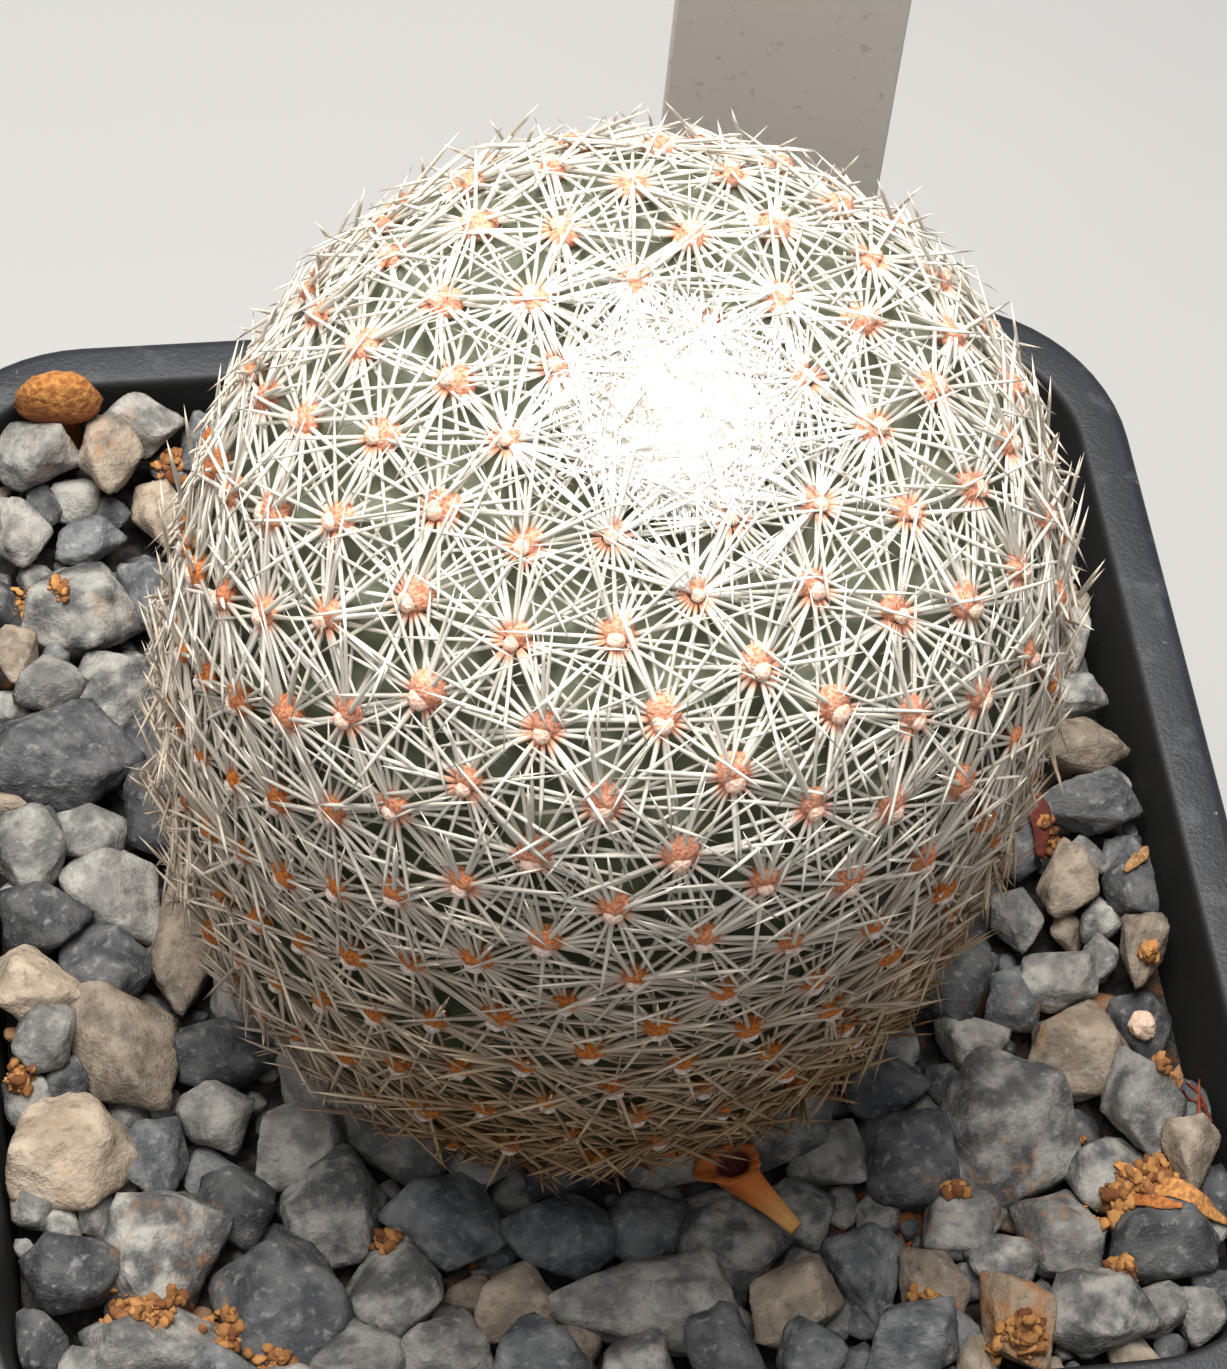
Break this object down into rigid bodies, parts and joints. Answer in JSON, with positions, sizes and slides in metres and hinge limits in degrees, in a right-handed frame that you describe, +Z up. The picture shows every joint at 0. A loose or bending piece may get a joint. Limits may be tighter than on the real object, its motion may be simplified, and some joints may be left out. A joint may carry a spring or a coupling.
{
  "type": "potted cactus",
  "caption": "Short, densely spined globe cactus in a square plastic nursery pot, top dressed with gravel, with a blank plant label.",
  "frame": {"origin": "middle of the pot's base, on the surface it stands on", "axes": "+Z up through the rim, +Y to the side of the pot where the label stands, +X to the right seen from the front"},
  "size_m": [0.07, 0.07, 0.12],
  "materials": {
    "pot": "fine-grained charcoal moulded plastic",
    "soil": "gritty dark brown cactus soil",
    "gravel": "mottled grey and beige washed chips, matt",
    "cactus": "cream white spines over dark green skin",
    "label": "bare warm grey strip",
    "flower": "dry papery orange brown",
    "bark": "crumbly orange brown",
    "perlite": "pale, porous, matt"
  },
  "bodies": {
    "root": {"pot": "pot", "soil": "soil", "gravel": "gravel", "cactus": "cactus", "plant_label": "label", "spent_flower": "flower", "bark_chip": "bark", "perlite_grain": "perlite"}
  },
  "joints": []
}
